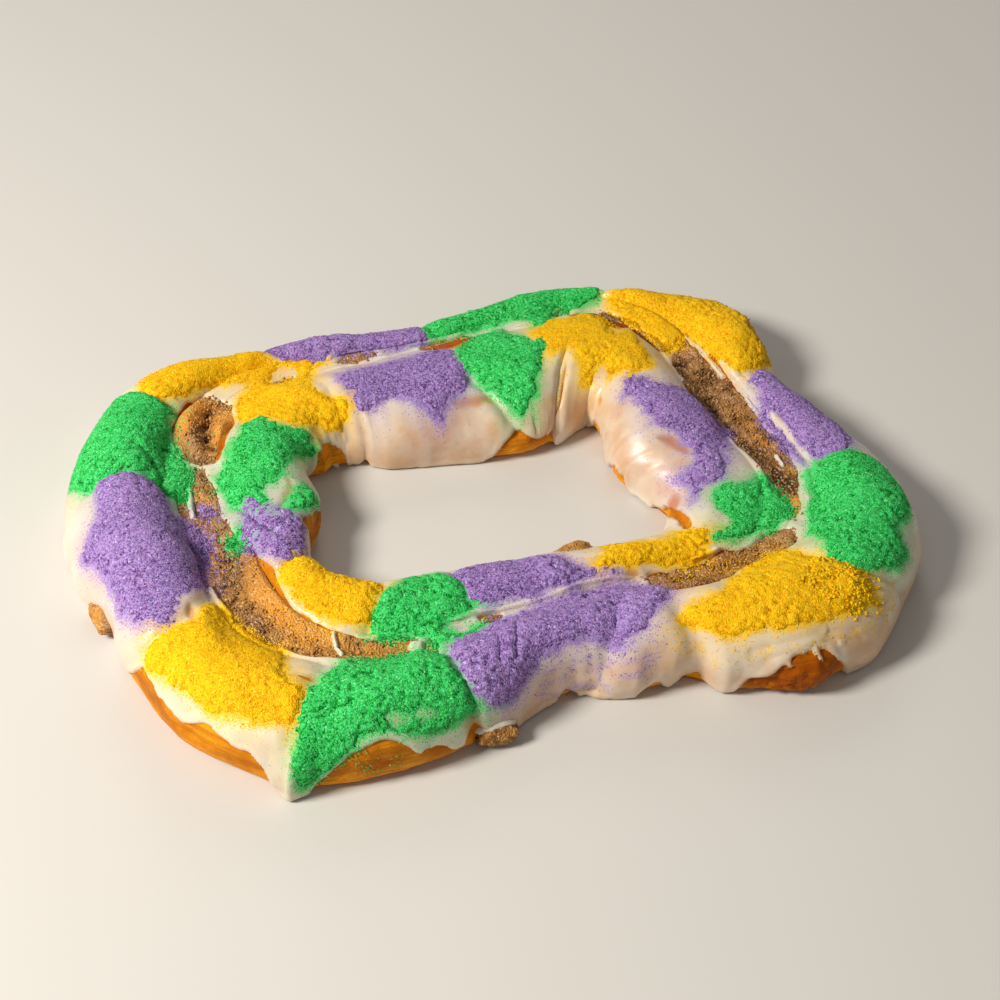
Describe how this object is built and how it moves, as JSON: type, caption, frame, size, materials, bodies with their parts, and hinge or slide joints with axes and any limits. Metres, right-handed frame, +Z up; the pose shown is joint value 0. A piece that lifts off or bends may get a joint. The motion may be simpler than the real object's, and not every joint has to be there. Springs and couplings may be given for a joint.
{
  "type": "king cake",
  "caption": "Long ring-shaped festive cake of two ropes of sweet dough side by side, cinnamon filling along the seam, iced and strewn with coloured sugar.",
  "frame": {"origin": "middle of the flat base, on the surface the cake stands on", "axes": "+X along the ring's long side, +Y from the near side to the far side, +Z up"},
  "size_m": [0.4876, 0.3582, 0.0471],
  "materials": {
    "dough": "baked golden-brown crust, slightly glossy",
    "filling": "crumbly cinnamon and sugar",
    "icing": "set white sugar icing, thin where it runs",
    "sugar_purple": "coarse sugar grains",
    "sugar_green": "coarse sugar grains",
    "sugar_gold": "coarse sugar grains"
  },
  "bodies": {
    "root": {"outer_strand": "dough", "inner_strand": "dough", "filling": "filling", "filling_lump_left": "filling", "filling_lump_near": "filling", "filling_lump_hole": "filling", "filling_lump_far": "filling"}
  },
  "joints": []
}
